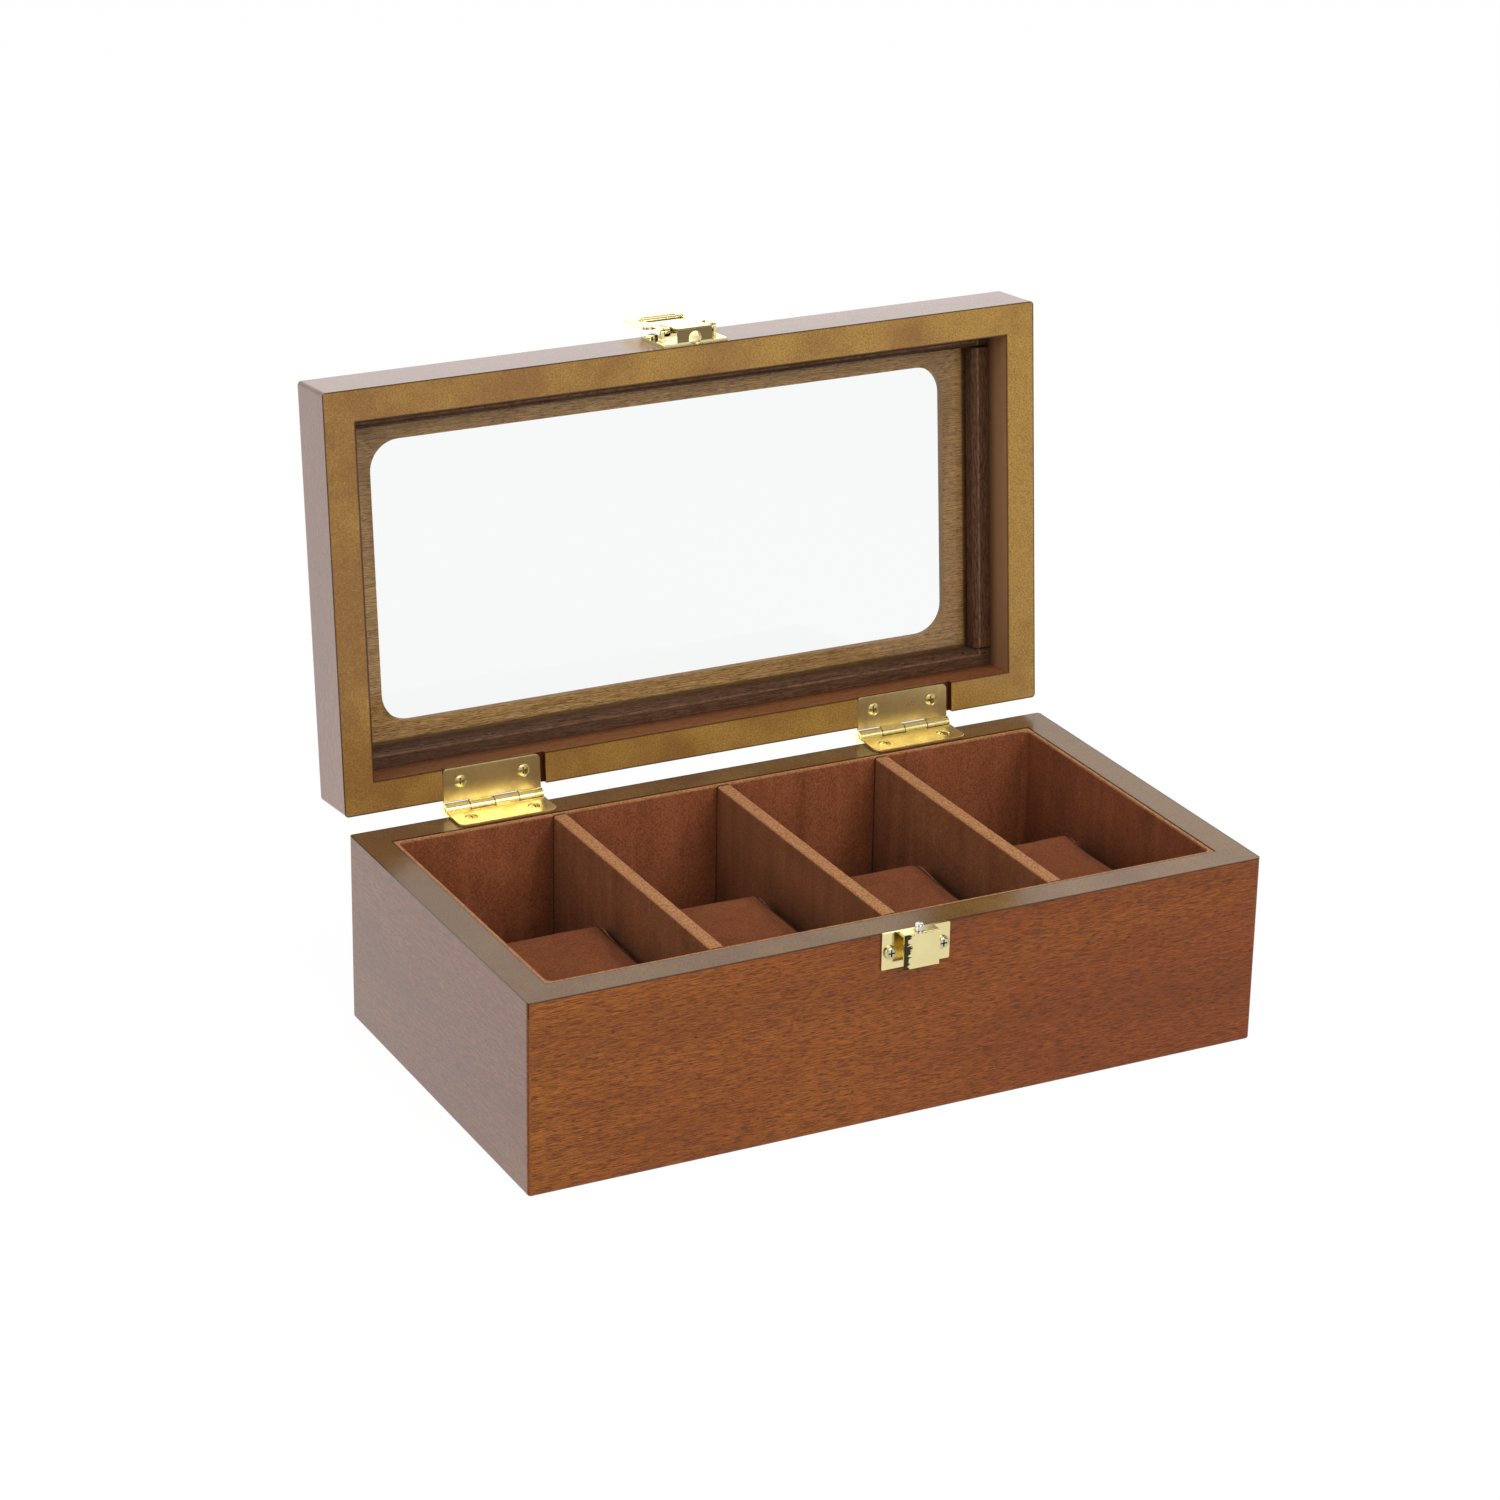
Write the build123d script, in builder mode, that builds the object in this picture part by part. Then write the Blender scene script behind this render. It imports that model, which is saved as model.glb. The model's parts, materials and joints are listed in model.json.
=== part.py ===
"""Wooden watch box: four pillow compartments, a glass lid on two butt hinges and a flip hasp.

Millimetres.  X runs along the front, -Y is the front, +Z is up, and the origin is the centre
of the base's underside.  The box rests with its lid open.  Pieces of the lid and of the hasp
are drawn with the lid shut, where they are square to the axes, and then swung open.
"""

import os

from build123d import *

os.makedirs("parts", exist_ok=True)

# ---------------------------------------------------------------- driving dimensions
# carcass
WIDTH = 280
DEPTH = 152
BASE_HEIGHT = 70
LID_HEIGHT = 25
RIM_GAP = 0.2
WALL = 11.5
CORNER_ROUND = 1.4
FOOT_ROUND = 1
LID_TOP_ROUND = 2.5
LID_OPEN_ANGLE = 95

# base interior
BOARD = 6.5
BOARD_REBATE = 5
LINING = 1.2
LINING_GAP = 0.2
LINING_DROP = 0.25
LINING_ROUND = 2.5
FLOOR_LINING = 1.5
DIVIDER = 5.2
DIVIDER_PITCH = 64.95
DIVIDER_DROP = 0.4
PILLOW_WIDTH = 52
PILLOW_LENGTH = 83.1
PILLOW_TOP = 46.6
PILLOW_FRONT_GAP = 0.5
PILLOW_SHIFTS = (2.2, -1, -1.5, -3.3)
PILLOW_ROUND = 6
PILLOW_EDGE = 3

# lid interior, as depths from the lid's rim
BEAD_DEPTH = 14
BEAD_HEIGHT = 5.5
BEAD_WIDTH = 6.4
BEAD_ROUND = 2.2
BEAD_END_GAP = 0.4
GLASS = 2
GLASS_GAP = 0.3
PANEL = 3.5
PANEL_REBATE = 5.5
WINDOW_WIDTH = 228.6
WINDOW_DEPTH = 103
WINDOW_SHIFT = -1.2
WINDOW_ROUND = 11
BRAD_RADIUS = 0.65
BRAD_LENGTH = 14
BRAD_PITCH = 13
BRAD_SLOPE = 0.36

# hinges
HINGE_CENTRES = (-83.3, 83.3)
HINGE_WIDTH = 38
HINGE_SHEET = 1
HINGE_REACH = 11
HINGE_AXIS_BACK = 3.9
HINGE_AXIS_RISE = 1.1
BARREL_RADIUS = 2.25
BARREL_GAP = 0.35
KNUCKLE_GAP = 0.3
LEAF_CHAMFER = 0.2
HINGE_PIN_RADIUS = 1
RUNNING_GAP = 0.05
MORTISE_DEPTH = 2
MORTISE_SLACK_LEFT = 0.3
MORTISE_SLACK_RIGHT = 1.6
HINGE_SCREW_SPREAD = 12.2
HINGE_SCREW_SINK = 2.45
HINGE_SCREW_CROWN = 0.3
HINGE_SCREW_SHANK = 1.1
HINGE_SCREW_LENGTH = 9
BASE_SCREW_INSET = 5
LID_SCREW_INSET = 5.8

# catch on the base front, below the rim
LATCH_X = 2
CATCH_WIDTH = 26
CATCH_HEIGHT = 13.3
SHEET = 1
HOOD_WIDTH = 13.4
HOOD_DROP = 12.6
HOOD_OUT = 5.3
HOOD_SHEET = 0.9
STUD_RADIUS = 1.6
STUD_SHANK = 1
STUD_HEIGHT = 2.7
STUD_OUT = 2.8
PAN_HEAD = 2.3
PAN_HEIGHT = 1.4
PAN_SHANK = 1
PAN_LENGTH = 8
CATCH_SCREW_SPREAD = 10
CATCH_SCREW_DROP = 7

# latch on the lid front, as distances from the lid's rim
LATCH_WIDTH = 25.6
LATCH_LOW = 1
LATCH_HIGH = 19
HUMP_OUT = 6.2
HUMP_END = 16
HUMP_END_OUT = 5.5
HUMP_SHEET = 0.8
ARCH_WIDTH = 5
ARCH_OUT = 4.9
PIVOT_UP = 7.5
PIVOT_OUT = 4.2
PIVOT_RADIUS = 0.8
EYE_RADIUS = 1.65
EAR_INNER = 9.75
EAR_SHEET = 1
EAR_REACH = 1.6
LATCH_SCREW_SPREAD = 10.3
LATCH_SCREW_UP = 14.5
HASP_SHEET = 0.9
HASP_WINDOW = 14.5
HASP_ARM = 2.25
HASP_WIDE = 25.6
HASP_WIDE_FROM = 16
HASP_BAR_FROM = 33
HASP_END = 36.5
HASP_ROUND = 3
CROSS_BAR_UP = 29
CROSS_BAR_RADIUS = 0.9
CROSS_BAR_REACH = 8
CROSS_BALL = 1.25

# ---------------------------------------------------------------- derived places
INNER_X = WIDTH / 2 - WALL
INNER_Y = DEPTH / 2 - WALL
LID_RIM = BASE_HEIGHT + RIM_GAP
LID_TOP = LID_RIM + LID_HEIGHT
FLOOR_TOP = BOARD + FLOOR_LINING
LINED_X = INNER_X - LINING_GAP - LINING
LINED_Y = INNER_Y - LINING_GAP - LINING
AXIS_Y = DEPTH / 2 + HINGE_AXIS_BACK
AXIS_Z = BASE_HEIGHT + HINGE_AXIS_RISE
HINGE_AXIS = Axis((0, AXIS_Y, AXIS_Z), (1, 0, 0))
FRONT = Plane(origin=(LATCH_X, -DEPTH / 2, 0), x_dir=(1, 0, 0), z_dir=(0, -1, 0))
SIDE_VIEW = Plane(origin=(LATCH_X, -DEPTH / 2, LID_RIM), x_dir=(0, -1, 0), z_dir=(-1, 0, 0))
STUD = Plane(origin=(LATCH_X, -DEPTH / 2 - STUD_OUT, BASE_HEIGHT))


# ---------------------------------------------------------------- shared shapes
def keep(name, part):
    """Labels a finished piece and writes its STEP."""
    part.label = name
    export_step(part, f"parts/{name}.step")


def keep_on_lid(name, part):
    """Swings a piece that was drawn with the lid shut to the open angle, then keeps it."""
    keep(name, part.rotate(HINGE_AXIS, -LID_OPEN_ANGLE))


def walls(bottom, top):
    """A frame of four walls with rounded outer corners, as one ring."""
    with BuildPart() as ring:
        with BuildSketch(Plane.XY.offset(bottom)):
            RectangleRounded(WIDTH, DEPTH, CORNER_ROUND)
            Rectangle(2 * INNER_X, 2 * INNER_Y, mode=Mode.SUBTRACT)
        extrude(amount=top - bottom)
    return ring


def rebate(half_x, half_y, bottom, height):
    """Removes a rectangular block of the given half sizes from the part being built."""
    with BuildSketch(Plane.XY.offset(bottom)) as block:
        Rectangle(2 * half_x, 2 * half_y)
    extrude(block.sketch, amount=height, mode=Mode.SUBTRACT)


def keep_side(side_x, side_y):
    """Cuts the ring being built down to the wall facing (side_x, side_y), mitred at both ends."""
    split(bisect_by=Plane(origin=(0, 0, 0), z_dir=(side_x, side_y, 0)))
    for end in (-1, 1):
        along_x, along_y = end * abs(side_y), end * abs(side_x)
        corner = ((side_x + along_x) * WIDTH / 2, (side_y + along_y) * DEPTH / 2, 0)
        split(bisect_by=Plane(origin=corner, z_dir=(side_x - along_x, side_y - along_y, 0)))


def flat_screw(sink_radius, shank_radius, length, sink_depth, crown):
    """A cross-head screw along Z for a countersunk hole, with the top of its low crown at the origin."""
    rim = sink_radius - (sink_radius - shank_radius) * crown / sink_depth
    with BuildPart() as screw:
        with BuildSketch(Plane.XZ):
            with BuildLine():
                ThreePointArc((0, 0), (rim * 0.55, -crown * 0.3), (rim, -crown))
                Polyline(
                    (rim, -crown), (shank_radius, -sink_depth),
                    (shank_radius, -length + 2 * shank_radius), (0, -length), (0, 0),
                )
            make_face()
        revolve(axis=Axis.Z)
        cross_recess(0, rim * 1.3, 0.5, sink_depth * 0.7)
    return screw.part


def pan_screw(head_radius, head_height, shank_radius, length):
    """A round-topped cross-head screw along Z, with the seat of its head at the origin."""
    crown = (head_radius * 0.6, head_height)
    shoulder = (head_radius, head_height * 0.35)
    with BuildPart() as screw:
        with BuildSketch(Plane.XZ):
            with BuildLine():
                Polyline(
                    (0, head_height), (0, -length), (shank_radius, -length + 2 * shank_radius),
                    (shank_radius, 0), (head_radius, 0), shoulder,
                )
                ThreePointArc(shoulder, (head_radius * 0.87, head_height * 0.8), crown)
                Line(crown, (0, head_height))
            make_face()
        revolve(axis=Axis.Z)
        cross_recess(head_height, head_radius * 1.1, 0.55, head_height * 0.6)
    return screw.part


def cross_recess(top, span, slot, depth):
    """Cuts a cross-shaped driver recess down from the given height."""
    with BuildSketch(Plane.XY.offset(top)) as cross:
        Rectangle(span, slot)
        Rectangle(slot, span)
    extrude(cross.sketch, amount=-depth, mode=Mode.SUBTRACT)


# ---------------------------------------------------------------- base carcass
SIDES = {"front": (0, -1), "back": (0, 1), "left": (-1, 0), "right": (1, 0)}
base_screw_y = DEPTH / 2 - BASE_SCREW_INSET
base_screws = [
    (centre + side * HINGE_SCREW_SPREAD, base_screw_y)
    for centre in HINGE_CENTRES
    for side in (-1, 1)
]
catch_screws_at = [(side * CATCH_SCREW_SPREAD, BASE_HEIGHT - CATCH_SCREW_DROP) for side in (-1, 1)]

base_walls = walls(0, BASE_HEIGHT)
for side, (side_x, side_y) in SIDES.items():
    with BuildPart() as base_panel:
        add(base_walls.part)
        fillet(base_panel.faces().sort_by(Axis.Z)[0].outer_wire().edges(), FOOT_ROUND)
        rebate(INNER_X + BOARD_REBATE, INNER_Y + BOARD_REBATE, 0, BOARD)
        keep_side(side_x, side_y)
        if side == "back":
            with BuildSketch(Plane.XY.offset(BASE_HEIGHT)):
                with Locations(*base_screws):
                    Circle(HINGE_SCREW_SHANK)
            extrude(amount=-HINGE_SCREW_LENGTH, mode=Mode.SUBTRACT)
        if side == "front":
            with BuildSketch(FRONT):
                with Locations(*catch_screws_at):
                    Circle(PAN_SHANK)
            extrude(amount=-PAN_LENGTH, mode=Mode.SUBTRACT)
    keep(f"base_{side}_panel", base_panel.part)

with BuildPart() as base_bottom:
    with BuildSketch():
        Rectangle(2 * (INNER_X + BOARD_REBATE), 2 * (INNER_Y + BOARD_REBATE))
    extrude(amount=BOARD)
keep("base_bottom", base_bottom.part)

# ---------------------------------------------------------------- velvet lining, dividers, pillows
with BuildPart() as lining_ring:
    with BuildSketch(Plane.XY.offset(FLOOR_TOP)):
        Rectangle(2 * (LINED_X + LINING), 2 * (LINED_Y + LINING))
        RectangleRounded(2 * LINED_X, 2 * LINED_Y, LINING_ROUND, mode=Mode.SUBTRACT)
    extrude(amount=BASE_HEIGHT - LINING_DROP - FLOOR_TOP)
for side, (side_x, side_y) in SIDES.items():
    with BuildPart() as lining:
        add(lining_ring.part)
        keep_side(side_x, side_y)
    keep(f"lining_{side}", lining.part)

with BuildPart() as lining_floor:
    with BuildSketch(Plane.XY.offset(BOARD)):
        Rectangle(2 * (INNER_X - LINING_GAP), 2 * (INNER_Y - LINING_GAP))
    extrude(amount=FLOOR_LINING)
keep("lining_floor", lining_floor.part)

for number, place in enumerate((-1, 0, 1), start=1):
    with BuildPart() as divider:
        with BuildSketch(Plane.XY.offset(FLOOR_TOP)):
            with Locations((place * DIVIDER_PITCH, 0)):
                Rectangle(DIVIDER, 2 * LINED_Y)
        extrude(amount=BASE_HEIGHT - DIVIDER_DROP - FLOOR_TOP)
        top_edges = divider.edges().group_by(Axis.Z)[-1].filter_by(Axis.Y)
        fillet(top_edges, DIVIDER / 6)
    keep(f"divider_{number}", divider.part)

pillow_y = -LINED_Y + PILLOW_FRONT_GAP + PILLOW_LENGTH / 2
for number, (place, shift) in enumerate(zip((-1.5, -0.5, 0.5, 1.5), PILLOW_SHIFTS), start=1):
    with BuildPart() as pillow:
        with BuildSketch(Plane.XY.offset(FLOOR_TOP)):
            with Locations((place * DIVIDER_PITCH + shift, pillow_y)):
                RectangleRounded(PILLOW_WIDTH, PILLOW_LENGTH, PILLOW_ROUND)
        extrude(amount=PILLOW_TOP - FLOOR_TOP)
        fillet(pillow.edges().group_by(Axis.Z)[-1], PILLOW_EDGE)
        fillet(pillow.edges().group_by(Axis.Z)[0], PILLOW_EDGE)
    keep(f"pillow_{number}", pillow.part)

# ---------------------------------------------------------------- lid frame, window, glass and beads
lid_screw_y = DEPTH / 2 - LID_SCREW_INSET
lid_screws = [
    (centre + side * HINGE_SCREW_SPREAD, lid_screw_y)
    for centre in HINGE_CENTRES
    for side in (-1, 1)
]
latch_screws_at = [(side * LATCH_SCREW_SPREAD, LID_RIM + LATCH_SCREW_UP) for side in (-1, 1)]
mortise_width = HINGE_WIDTH + MORTISE_SLACK_LEFT + MORTISE_SLACK_RIGHT
mortise_shift = (MORTISE_SLACK_RIGHT - MORTISE_SLACK_LEFT) / 2
mortises_at = [(centre + mortise_shift, DEPTH / 2 - WALL / 2) for centre in HINGE_CENTRES]
panel_bottom = LID_TOP - PANEL
bead_bottom = LID_RIM + BEAD_DEPTH
bead_long = 2 * INNER_X
bead_short = 2 * (INNER_Y - BEAD_WIDTH - BEAD_END_GAP)
brad_start = BEAD_ROUND * 0.3


def brads(side_x, side_y, mode=Mode.ADD):
    """A row of brads driven at a slant through a bead's rounded edge into the wall behind it."""
    length = bead_long if side_y else bead_short
    start_x = INNER_X - BEAD_WIDTH + brad_start
    start_y = INNER_Y - BEAD_WIDTH + brad_start
    row = Plane(
        origin=(side_x * start_x, side_y * start_y, bead_bottom + brad_start),
        x_dir=(abs(side_y), abs(side_x), 0),
        z_dir=(side_x, side_y, BRAD_SLOPE),
    )
    with BuildSketch(row) as heads:
        with GridLocations(BRAD_PITCH, 0, int(length / BRAD_PITCH), 1):
            Circle(BRAD_RADIUS)
    extrude(heads.sketch, amount=BRAD_LENGTH, mode=mode)


lid_walls = walls(LID_RIM, LID_TOP)
for side, (side_x, side_y) in SIDES.items():
    with BuildPart() as lid_rail:
        add(lid_walls.part)
        fillet(lid_rail.faces().sort_by(Axis.Z)[-1].outer_wire().edges(), LID_TOP_ROUND)
        rebate(INNER_X + PANEL_REBATE, INNER_Y + PANEL_REBATE, panel_bottom, PANEL)
        keep_side(side_x, side_y)
        brads(side_x, side_y, Mode.SUBTRACT)
        if side == "back":
            with BuildSketch(Plane.XY.offset(LID_RIM)):
                with Locations(*mortises_at):
                    Rectangle(mortise_width, WALL)
            extrude(amount=MORTISE_DEPTH, mode=Mode.SUBTRACT)
            with BuildSketch(Plane.XY.offset(LID_RIM)):
                with Locations(*lid_screws):
                    Circle(HINGE_SCREW_SHANK)
            extrude(amount=MORTISE_DEPTH + HINGE_SCREW_LENGTH, mode=Mode.SUBTRACT)
        if side == "front":
            with BuildSketch(FRONT):
                with Locations(*latch_screws_at):
                    Circle(PAN_SHANK)
            extrude(amount=-PAN_LENGTH, mode=Mode.SUBTRACT)
    keep_on_lid(f"lid_{side}_rail", lid_rail.part)

with BuildPart() as window_panel:
    with BuildSketch(Plane.XY.offset(panel_bottom)):
        Rectangle(2 * (INNER_X + PANEL_REBATE), 2 * (INNER_Y + PANEL_REBATE))
        with Locations((WINDOW_SHIFT, 0)):
            RectangleRounded(WINDOW_WIDTH, WINDOW_DEPTH, WINDOW_ROUND, mode=Mode.SUBTRACT)
    extrude(amount=PANEL)
keep_on_lid("lid_window_panel", window_panel.part)

with BuildPart() as glass_pane:
    with BuildSketch(Plane.XY.offset(panel_bottom - GLASS)):
        Rectangle(2 * (INNER_X - GLASS_GAP), 2 * (INNER_Y - GLASS_GAP))
    extrude(amount=GLASS)
keep_on_lid("glass_pane", glass_pane.part)

for side, (side_x, side_y) in SIDES.items():
    centre_x = side_x * (INNER_X - BEAD_WIDTH / 2)
    centre_y = side_y * (INNER_Y - BEAD_WIDTH / 2)
    with BuildPart() as bead:
        with BuildSketch(Plane.XY.offset(bead_bottom)):
            with Locations((centre_x, centre_y)):
                if side_y:
                    Rectangle(bead_long, BEAD_WIDTH)
                else:
                    Rectangle(BEAD_WIDTH, bead_short)
        extrude(amount=BEAD_HEIGHT)
        run = Axis.X if side_y else Axis.Y
        inward = Axis((0, 0, 0), (-side_x, -side_y, 0))
        inner_edge = bead.edges().group_by(Axis.Z)[0].filter_by(run).sort_by(inward)[-1]
        fillet(inner_edge, BEAD_ROUND)
        brads(side_x, side_y, Mode.SUBTRACT)
    keep_on_lid(f"bead_{side}", bead.part)

with BuildPart() as bead_brads:
    for side_x, side_y in SIDES.values():
        brads(side_x, side_y)
keep_on_lid("bead_brads", bead_brads.part)


# ---------------------------------------------------------------- butt hinges
def hinge_leaf(centre, low, own, other, corner, bore, screw_y, countersink):
    """A leaf lying flat at height low, with its own knuckles and notches for the other leaf's."""
    knuckle = HINGE_WIDTH / 4
    front_y = DEPTH / 2 - HINGE_REACH
    plate_depth = AXIS_Y - front_y
    notch_y = AXIS_Y - BARREL_RADIUS - BARREL_GAP
    left = centre - HINGE_WIDTH / 2
    with BuildPart() as leaf:
        with BuildSketch(Plane.XY.offset(low)) as outline:
            with Locations((centre, front_y + plate_depth / 2)):
                Rectangle(HINGE_WIDTH, plate_depth)
            fillet(outline.vertices().group_by(Axis.Y)[0], corner)
            with Locations(*[(left + (spot + 0.5) * knuckle, AXIS_Y) for spot in other]):
                Rectangle(knuckle + 2 * KNUCKLE_GAP, 2 * (AXIS_Y - notch_y), mode=Mode.SUBTRACT)
        extrude(amount=HINGE_SHEET)
        chamfer(leaf.edges().filter_by(Axis.Z, reverse=True), LEAF_CHAMFER)
        for spot in own:
            start = Plane(origin=(left + spot * knuckle + KNUCKLE_GAP / 2, AXIS_Y, AXIS_Z), z_dir=(1, 0, 0))
            with BuildSketch(start):
                Circle(BARREL_RADIUS)
            extrude(amount=knuckle - KNUCKLE_GAP)
        with BuildSketch(Plane(origin=(left, AXIS_Y, AXIS_Z), z_dir=(1, 0, 0))):
            Circle(bore)
        extrude(amount=HINGE_WIDTH, mode=Mode.SUBTRACT)
        holes = [(centre + side * HINGE_SCREW_SPREAD, screw_y, low + HINGE_SHEET / 2) for side in (-1, 1)]
        with Locations(*holes):
            Cone(*countersink, height=HINGE_SHEET, mode=Mode.SUBTRACT)
    return leaf.part


head_up = (HINGE_SCREW_SHANK, HINGE_SCREW_SINK)
head_down = (HINGE_SCREW_SINK, HINGE_SCREW_SHANK)
lid_leaf_low = LID_RIM + MORTISE_DEPTH - HINGE_SHEET
for side, centre in zip(("left", "right"), HINGE_CENTRES):
    base_leaf = hinge_leaf(
        centre, BASE_HEIGHT, (0, 2), (1, 3), 3, HINGE_PIN_RADIUS, base_screw_y, head_up
    )
    keep(f"hinge_{side}_base_leaf", base_leaf)
    lid_leaf = hinge_leaf(
        centre, lid_leaf_low, (1, 3), (0, 2), 2, HINGE_PIN_RADIUS + RUNNING_GAP, lid_screw_y, head_down
    )
    keep_on_lid(f"hinge_{side}_lid_leaf", lid_leaf)
    with BuildPart() as hinge_pin:
        with BuildSketch(Plane(origin=(centre - HINGE_WIDTH / 2, AXIS_Y, AXIS_Z), z_dir=(1, 0, 0))):
            Circle(HINGE_PIN_RADIUS)
        extrude(amount=HINGE_WIDTH)
    keep(f"hinge_{side}_pin", hinge_pin.part)

hinge_screw = flat_screw(
    HINGE_SCREW_SINK, HINGE_SCREW_SHANK, HINGE_SCREW_LENGTH, HINGE_SHEET, HINGE_SCREW_CROWN
)
with BuildPart() as hinge_screws_base:
    with Locations(*[(x, y, BASE_HEIGHT + HINGE_SHEET) for x, y in base_screws]):
        add(hinge_screw)
keep("hinge_screws_base", hinge_screws_base.part)

with BuildPart() as hinge_screws_lid:
    with Locations(*[Location((x, y, lid_leaf_low), (180, 0, 0)) for x, y in lid_screws]):
        add(hinge_screw)
keep_on_lid("hinge_screws_lid", hinge_screws_lid.part)

# ---------------------------------------------------------------- catch on the base
with BuildPart() as catch_plate:
    with BuildSketch(FRONT):
        with Locations((0, BASE_HEIGHT - CATCH_HEIGHT / 2)):
            RectangleRounded(CATCH_WIDTH, CATCH_HEIGHT, 0.5)
    extrude(amount=SHEET)
    # a tongue folded forward from the plate's top edge, then down in front of it
    with BuildSketch(FRONT.offset(SHEET)):
        with Locations((0, BASE_HEIGHT - SHEET / 2)):
            Rectangle(HOOD_WIDTH, SHEET)
    extrude(amount=HOOD_OUT - SHEET)
    with BuildSketch(FRONT.offset(HOOD_OUT - HOOD_SHEET)):
        with Locations((0, BASE_HEIGHT - HOOD_DROP / 2)):
            Rectangle(HOOD_WIDTH, HOOD_DROP)
    extrude(amount=HOOD_SHEET)
    bend = catch_plate.edges().filter_by(Axis.X).group_by(Axis.Y)[0].sort_by(Axis.Z)[-1]
    fillet(bend, SHEET * 0.7)
    with BuildSketch(FRONT):
        with Locations(*catch_screws_at):
            Circle(PAN_SHANK)
    extrude(amount=SHEET, mode=Mode.SUBTRACT)
    with BuildSketch(STUD.offset(-SHEET)):
        Circle(STUD_SHANK)
    extrude(amount=SHEET, mode=Mode.SUBTRACT)
keep("catch_plate", catch_plate.part)

with BuildPart() as catch_stud:
    with BuildSketch(STUD.offset(-SHEET)):
        Circle(STUD_SHANK)
    extrude(amount=SHEET)
    with BuildSketch(STUD):
        Circle(STUD_RADIUS)
    extrude(amount=STUD_HEIGHT)
    fillet(catch_stud.edges().filter_by(GeomType.CIRCLE).sort_by(Axis.Z)[-1], STUD_RADIUS * 0.7)
keep("catch_stud", catch_stud.part)

front_screw = pan_screw(PAN_HEAD, PAN_HEIGHT, PAN_SHANK, PAN_LENGTH)


def front_screws(places):
    """Round-headed screws through a front plate, at the given places on the front."""
    with BuildPart() as screws:
        with Locations(*[Location((LATCH_X + x, -DEPTH / 2 - SHEET, z), (90, 0, 0)) for x, z in places]):
            add(front_screw)
    return screws.part


keep("catch_screws", front_screws(catch_screws_at))


# ---------------------------------------------------------------- latch plate on the lid
def crosswise(radius, middle, reach, mode=Mode.ADD):
    """A round bar along X at a place on the side view, reaching equally far both ways."""
    with BuildSketch(SIDE_VIEW) as section:
        with Locations(middle):
            Circle(radius)
    extrude(section.sketch, amount=reach, both=True, mode=mode)


pivot = (PIVOT_OUT, PIVOT_UP)
with BuildPart() as latch_plate:
    with BuildSketch(FRONT):
        with Locations((0, LID_RIM + (LATCH_LOW + LATCH_HIGH) / 2)):
            RectangleRounded(LATCH_WIDTH, LATCH_HIGH - LATCH_LOW, 0.6)
    extrude(amount=SHEET)
    # a strip folded out from the plate's lower edge and back over the pivot rod
    with BuildSketch(SIDE_VIEW):
        with BuildLine():
            Polyline(
                (SHEET / 2, LATCH_LOW),
                (HUMP_OUT, LATCH_LOW),
                (HUMP_END_OUT, HUMP_END),
                (HUMP_END_OUT - HUMP_SHEET, HUMP_END),
                (HUMP_OUT - HUMP_SHEET, LATCH_LOW + HUMP_SHEET),
                (SHEET / 2, LATCH_LOW + HUMP_SHEET),
                close=True,
            )
        make_face()
    extrude(amount=HOOD_WIDTH / 2, both=True)
    fold = latch_plate.edges().filter_by(Axis.X).group_by(Axis.Y)[0].sort_by(Axis.Z)[0]
    fillet(fold, HUMP_SHEET * 0.8)
    # the arch in the folded strip that the catch's stud rises into
    with BuildSketch(Plane.XY.offset(LID_RIM)):
        with Locations((LATCH_X, -DEPTH / 2 - (SHEET + ARCH_OUT - ARCH_WIDTH / 2) / 2)):
            Rectangle(ARCH_WIDTH, ARCH_OUT - ARCH_WIDTH / 2 - SHEET)
        with Locations((LATCH_X, -DEPTH / 2 - ARCH_OUT + ARCH_WIDTH / 2)):
            Circle(ARCH_WIDTH / 2)
    extrude(amount=LATCH_LOW + HUMP_SHEET, mode=Mode.SUBTRACT)
    # ears that hold the pivot rod, one on each side of the hump
    for side in (-1, 1):
        with BuildSketch(SIDE_VIEW.offset(side * (EAR_INNER + EAR_SHEET / 2))):
            with Locations(pivot):
                Circle(EAR_REACH)
            with Locations(((PIVOT_OUT + SHEET / 2) / 2, PIVOT_UP)):
                Rectangle(PIVOT_OUT - SHEET / 2, 2 * EAR_REACH)
        extrude(amount=EAR_SHEET / 2, both=True)
    crosswise(PIVOT_RADIUS, pivot, EAR_INNER + EAR_SHEET, Mode.SUBTRACT)
    with BuildSketch(FRONT):
        with Locations(*latch_screws_at):
            Circle(PAN_SHANK)
    extrude(amount=SHEET, mode=Mode.SUBTRACT)
keep_on_lid("latch_plate", latch_plate.part)
keep_on_lid("latch_screws", front_screws(latch_screws_at))

with BuildPart() as latch_rod:
    crosswise(PIVOT_RADIUS, pivot, EAR_INNER + EAR_SHEET + 0.2)
keep_on_lid("latch_rod", latch_rod.part)

# ---------------------------------------------------------------- flip hasp
arm_middle = (HASP_WINDOW + HASP_ARM) / 2
bar_centre = (LATCH_X, -DEPTH / 2 - PIVOT_OUT, LID_RIM + CROSS_BAR_UP)


def ball_ended_bar(mode=Mode.ADD):
    """The hasp's cross bar: a thin rod along X with a ball at each end."""
    with BuildSketch(Plane(origin=bar_centre)) as half:
        Rectangle(2 * CROSS_BAR_REACH, 2 * CROSS_BAR_RADIUS)
        with GridLocations(2 * CROSS_BAR_REACH, 0, 2, 1):
            Circle(CROSS_BALL)
        Rectangle(WIDTH, WALL, align=(Align.CENTER, Align.MAX), mode=Mode.SUBTRACT)
    revolve(half.sketch, axis=Axis(bar_centre, (1, 0, 0)), mode=mode)


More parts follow.
